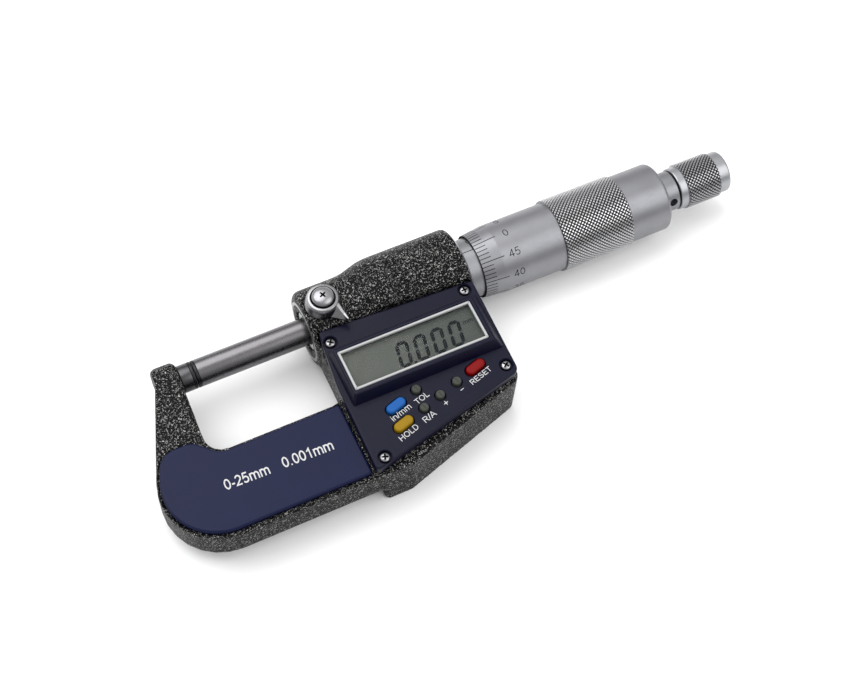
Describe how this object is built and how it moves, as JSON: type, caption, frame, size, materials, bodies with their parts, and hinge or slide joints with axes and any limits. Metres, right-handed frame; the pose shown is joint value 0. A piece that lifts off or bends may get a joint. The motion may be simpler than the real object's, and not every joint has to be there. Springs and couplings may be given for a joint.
{
  "type": "digital outside micrometer",
  "caption": "Outside micrometer with an electronic display, a ratchet stop, a spindle lock and a bow frame, measuring up to an inch.",
  "frame": {"origin": "middle of the box of the whole tool, on the plane that its flat back rests on", "axes": "+X along the spindle from the anvil to the ratchet, +Y from the bow towards the spindle, +Z out of the display side"},
  "size_m": [0.158, 0.0537, 0.0235],
  "materials": {
    "hammertone": "black hammertone paint with a fine light grey vein over the whole casting",
    "navy_plate": "satin navy moulded plate",
    "navy_cover": "dark navy moulded cover with soft gloss",
    "ground_steel": "fine ground hardened steel",
    "carbide": "lapped tungsten carbide",
    "satin_chrome": "satin chrome plate, knurled where it is gripped",
    "polished_steel": "bright nickel plate",
    "brass": "turned brass",
    "white_line": "silver white frame line",
    "clear_window": "clear acrylic window",
    "lcd": "grey green liquid crystal panel",
    "circuit_board": "green solder mask",
    "black_rubber": "black moulded rubber",
    "amber_film": "amber polyimide film",
    "blue_key": "moulded blue key",
    "yellow_key": "moulded yellow key",
    "red_key": "moulded red key",
    "grey_key": "olive grey rubber key"
  },
  "bodies": {
    "frame_assembly": {"frame": "hammertone", "anvil": "ground_steel", "anvil_tip": "carbide", "guide_bush": "ground_steel", "encoder_stator": "circuit_board", "encoder_flex": "amber_film", "rotor_spring": "polished_steel", "rotor_thrust_ring": "ground_steel", "inner_sleeve": "brass", "sleeve": "satin_chrome", "adjusting_nut": "ground_steel", "sleeve_set_screw": "polished_steel", "display_cover": "navy_cover", "display_bezel": "white_line", "display_window": "clear_window", "lcd_panel": "lcd", "zebra_strip": "black_rubber", "keypad_mat": "black_rubber", "main_board": "circuit_board", "processor_chip": "black_rubber", "crystal_can": "polished_steel", "battery": "polished_steel", "battery_contact": "polished_steel", "battery_seal": "black_rubber", "cover_screw_1": "polished_steel", "cover_screw_2": "polished_steel", "cover_screw_3": "polished_steel", "cover_screw_4": "polished_steel", "front_grip_plate": "navy_plate", "rear_grip_plate": "navy_plate"},
    "encoder_rotor": {"encoder_rotor": "brass", "rotor_key": "ground_steel"},
    "spindle_assembly": {"spindle": "ground_steel", "spindle_tip": "carbide", "thimble": "satin_chrome", "ratchet_body": "satin_chrome", "ratchet_disc": "ground_steel", "ratchet_spring": "polished_steel", "ratchet_end_screw": "polished_steel"},
    "ratchet_knob": {"ratchet_knob": "satin_chrome"},
    "spindle_lock": {"lock_lever": "polished_steel", "lock_screw": "polished_steel", "lock_pin": "brass"},
    "battery_cap": {"battery_cap": "navy_cover"},
    "unit_button": {"unit_button": "blue_key"},
    "hold_button": {"hold_button": "yellow_key"},
    "reset_button": {"reset_button": "red_key"},
    "tolerance_button": {"tolerance_button": "grey_key"},
    "relative_button": {"relative_button": "grey_key"},
    "plus_button": {"plus_button": "grey_key"},
    "minus_button": {"minus_button": "grey_key"}
  },
  "joints": [
    {"name": "thimble_turn", "type": "hinge", "parent": "frame_assembly", "child": "encoder_rotor", "pos_m": [-0.01192, 0.0157, 0.0095], "axis": [1, 0, 0], "range_deg": [0, 18000]},
    {"name": "spindle_travel", "type": "slide", "parent": "encoder_rotor", "child": "spindle_assembly", "axis": [1, 0, 0], "range_m": [0, 0.0251]},
    {"name": "ratchet_turn", "type": "hinge", "parent": "spindle_assembly", "child": "ratchet_knob", "pos_m": [0.07008, 0.0157, 0.0095], "axis": [1, 0, 0], "continuous": true},
    {"name": "lock_lever_turn", "type": "hinge", "parent": "frame_assembly", "child": "spindle_lock", "pos_m": [-0.02842, 0.0157, 0.019], "axis": [0, 0, 1], "range_deg": [-75, 0]},
    {"name": "battery_cap_turn", "type": "hinge", "parent": "frame_assembly", "child": "battery_cap", "pos_m": [-0.01192, -0.0078, 0.0005], "axis": [0, 0, -1], "range_deg": [0, 90]},
    {"name": "unit_button_press", "type": "slide", "parent": "frame_assembly", "child": "unit_button", "axis": [0, 0, -1], "range_m": [0, 0.0004], "stiffness_N_per_m": 400, "springref_m": -0.0005},
    {"name": "hold_button_press", "type": "slide", "parent": "frame_assembly", "child": "hold_button", "axis": [0, 0, -1], "range_m": [0, 0.0004], "stiffness_N_per_m": 400, "springref_m": -0.0005},
    {"name": "reset_button_press", "type": "slide", "parent": "frame_assembly", "child": "reset_button", "axis": [0, 0, -1], "range_m": [0, 0.0004], "stiffness_N_per_m": 400, "springref_m": -0.0005},
    {"name": "tolerance_button_press", "type": "slide", "parent": "frame_assembly", "child": "tolerance_button", "axis": [0, 0, -1], "range_m": [0, 0.0004], "stiffness_N_per_m": 400, "springref_m": -0.0005},
    {"name": "relative_button_press", "type": "slide", "parent": "frame_assembly", "child": "relative_button", "axis": [0, 0, -1], "range_m": [0, 0.0004], "stiffness_N_per_m": 400, "springref_m": -0.0005},
    {"name": "plus_button_press", "type": "slide", "parent": "frame_assembly", "child": "plus_button", "axis": [0, 0, -1], "range_m": [0, 0.0004], "stiffness_N_per_m": 400, "springref_m": -0.0005},
    {"name": "minus_button_press", "type": "slide", "parent": "frame_assembly", "child": "minus_button", "axis": [0, 0, -1], "range_m": [0, 0.0004], "stiffness_N_per_m": 400, "springref_m": -0.0005}
  ],
  "couplings": [
    {"joint": "spindle_travel", "follows": "thimble_turn", "m_per_rad": 0.000079577}
  ]
}
